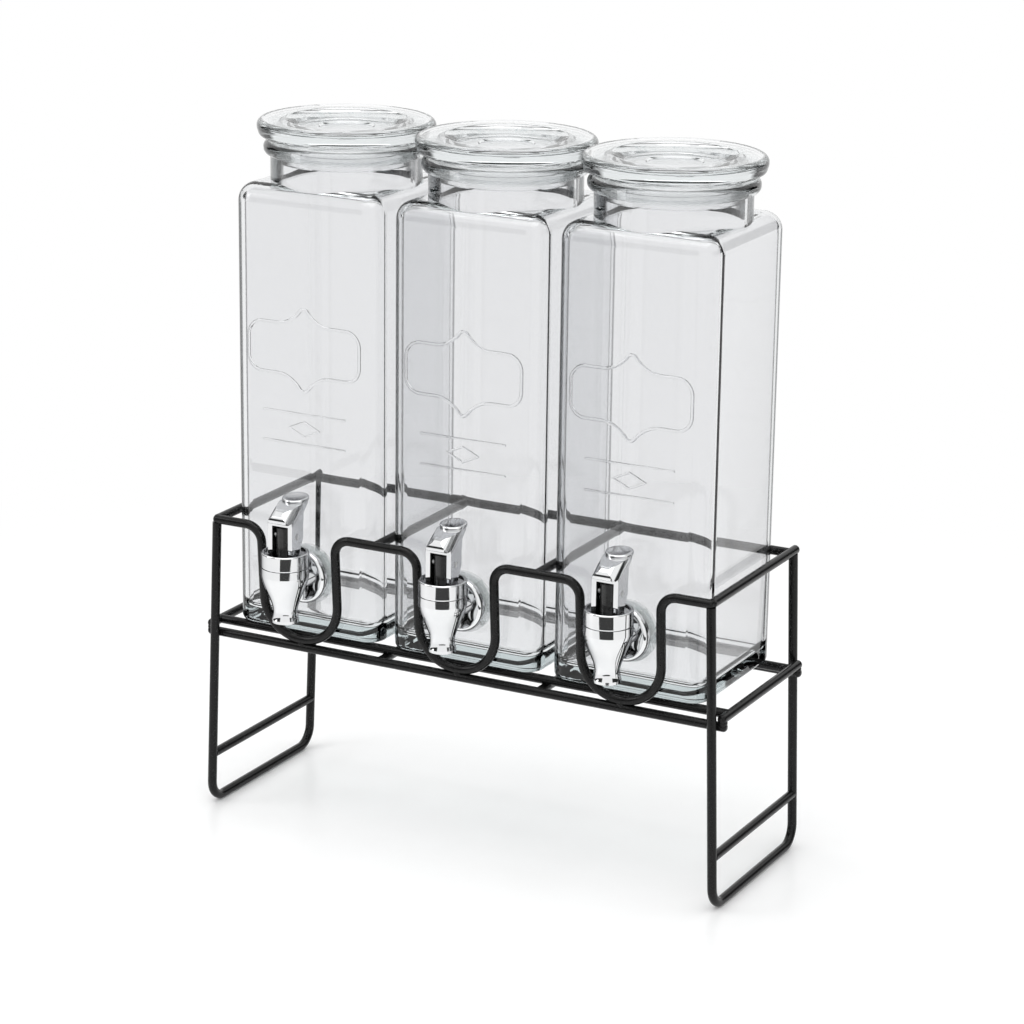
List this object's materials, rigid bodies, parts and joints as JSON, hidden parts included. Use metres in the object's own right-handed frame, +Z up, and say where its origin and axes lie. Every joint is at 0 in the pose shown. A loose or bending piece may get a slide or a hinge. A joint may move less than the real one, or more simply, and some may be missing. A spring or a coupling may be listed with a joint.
{
  "type": "triple beverage dispenser",
  "caption": "Row of square clear glass drink jars with round necks, glass disc lids and chrome lever taps at the front, standing in a black bent wire stand with room for a glass below",
  "frame": {"origin": "on the floor, under the middle of the bounding box", "axes": "X along the row of jars, -Y is the front where the taps are, Z up"},
  "size_m": [0.3768, 0.162, 0.4614],
  "materials": {
    "clear_glass": "clear pressed glass, faint green in thick places",
    "black_coat": "black powder coat, semi-gloss",
    "chrome_plate": "bright chrome plate",
    "black_plastic": "smooth black plastic",
    "black_rubber": "soft black rubber",
    "clear_silicone": "clear silicone with a slight haze",
    "white_nylon": "white moulded nylon",
    "steel": "plain stainless steel"
  },
  "bodies": {
    "stand": {"left_leg_loop": "black_coat", "right_leg_loop": "black_coat", "left_brace": "black_coat", "right_brace": "black_coat", "front_wave_rail": "black_coat", "rear_top_rail": "black_coat", "left_top_rail": "black_coat", "right_top_rail": "black_coat", "front_shelf_rail": "black_coat", "rear_shelf_rail": "black_coat", "left_shelf_rail": "black_coat", "right_shelf_rail": "black_coat", "front_jar_rail": "black_coat", "rear_jar_rail": "black_coat", "left_cross_wire": "black_coat", "right_cross_wire": "black_coat", "left_divider": "black_coat", "right_divider": "black_coat"},
    "left_jar_unit": {"left_jar": "clear_glass", "left_tap_body": "chrome_plate", "left_tap_outer_gasket": "clear_silicone", "left_tap_inner_gasket": "clear_silicone", "left_tap_nut": "white_nylon", "left_tap_bonnet": "chrome_plate", "left_tap_spring": "steel"},
    "left_lid_unit": {"left_lid": "clear_glass", "left_lid_seal": "clear_silicone"},
    "left_plunger_unit": {"left_tap_plunger": "black_plastic", "left_tap_valve_seal": "black_rubber"},
    "left_lever_unit": {"left_tap_lever": "chrome_plate", "left_tap_lever_pin": "steel"},
    "middle_jar_unit": {"middle_jar": "clear_glass", "middle_tap_body": "chrome_plate", "middle_tap_outer_gasket": "clear_silicone", "middle_tap_inner_gasket": "clear_silicone", "middle_tap_nut": "white_nylon", "middle_tap_bonnet": "chrome_plate", "middle_tap_spring": "steel"},
    "middle_lid_unit": {"middle_lid": "clear_glass", "middle_lid_seal": "clear_silicone"},
    "middle_plunger_unit": {"middle_tap_plunger": "black_plastic", "middle_tap_valve_seal": "black_rubber"},
    "middle_lever_unit": {"middle_tap_lever": "chrome_plate", "middle_tap_lever_pin": "steel"},
    "right_jar_unit": {"right_jar": "clear_glass", "right_tap_body": "chrome_plate", "right_tap_outer_gasket": "clear_silicone", "right_tap_inner_gasket": "clear_silicone", "right_tap_nut": "white_nylon", "right_tap_bonnet": "chrome_plate", "right_tap_spring": "steel"},
    "right_lid_unit": {"right_lid": "clear_glass", "right_lid_seal": "clear_silicone"},
    "right_plunger_unit": {"right_tap_plunger": "black_plastic", "right_tap_valve_seal": "black_rubber"},
    "right_lever_unit": {"right_tap_lever": "chrome_plate", "right_tap_lever_pin": "steel"}
  },
  "joints": [
    {"name": "left_jar_lift", "type": "slide", "parent": "stand", "child": "left_jar_unit", "axis": [0, 0, 1], "range_m": [0, 0.1]},
    {"name": "left_lid_lift", "type": "slide", "parent": "left_jar_unit", "child": "left_lid_unit", "axis": [0, 0, 1], "range_m": [0, 0.04]},
    {"name": "left_plunger_rise", "type": "slide", "parent": "left_jar_unit", "child": "left_plunger_unit", "axis": [0, 0, 1], "range_m": [0, 0.00314], "stiffness_N_per_m": 200, "springref_m": -0.006, "deforming": ["left_tap_spring"]},
    {"name": "left_lever_turn", "type": "hinge", "parent": "left_plunger_unit", "child": "left_lever_unit", "pos_m": [-0.116, -0.0655, 0.203], "axis": [1, 0, 0], "range_deg": [0, 31]},
    {"name": "middle_jar_lift", "type": "slide", "parent": "stand", "child": "middle_jar_unit", "axis": [0, 0, 1], "range_m": [0, 0.1]},
    {"name": "middle_lid_lift", "type": "slide", "parent": "middle_jar_unit", "child": "middle_lid_unit", "axis": [0, 0, 1], "range_m": [0, 0.04]},
    {"name": "middle_plunger_rise", "type": "slide", "parent": "middle_jar_unit", "child": "middle_plunger_unit", "axis": [0, 0, 1], "range_m": [0, 0.00314], "stiffness_N_per_m": 200, "springref_m": -0.006, "deforming": ["middle_tap_spring"]},
    {"name": "middle_lever_turn", "type": "hinge", "parent": "middle_plunger_unit", "child": "middle_lever_unit", "pos_m": [0, -0.0655, 0.203], "axis": [1, 0, 0], "range_deg": [0, 31]},
    {"name": "right_jar_lift", "type": "slide", "parent": "stand", "child": "right_jar_unit", "axis": [0, 0, 1], "range_m": [0, 0.1]},
    {"name": "right_lid_lift", "type": "slide", "parent": "right_jar_unit", "child": "right_lid_unit", "axis": [0, 0, 1], "range_m": [0, 0.04]},
    {"name": "right_plunger_rise", "type": "slide", "parent": "right_jar_unit", "child": "right_plunger_unit", "axis": [0, 0, 1], "range_m": [0, 0.00314], "stiffness_N_per_m": 200, "springref_m": -0.006, "deforming": ["right_tap_spring"]},
    {"name": "right_lever_turn", "type": "hinge", "parent": "right_plunger_unit", "child": "right_lever_unit", "pos_m": [0.116, -0.0655, 0.203], "axis": [1, 0, 0], "range_deg": [0, 31]}
  ],
  "couplings": [
    {"joint": "left_lever_turn", "follows": "left_plunger_rise", "rad_per_m": 166.7},
    {"joint": "middle_lever_turn", "follows": "middle_plunger_rise", "rad_per_m": 166.7},
    {"joint": "right_lever_turn", "follows": "right_plunger_rise", "rad_per_m": 166.7}
  ]
}
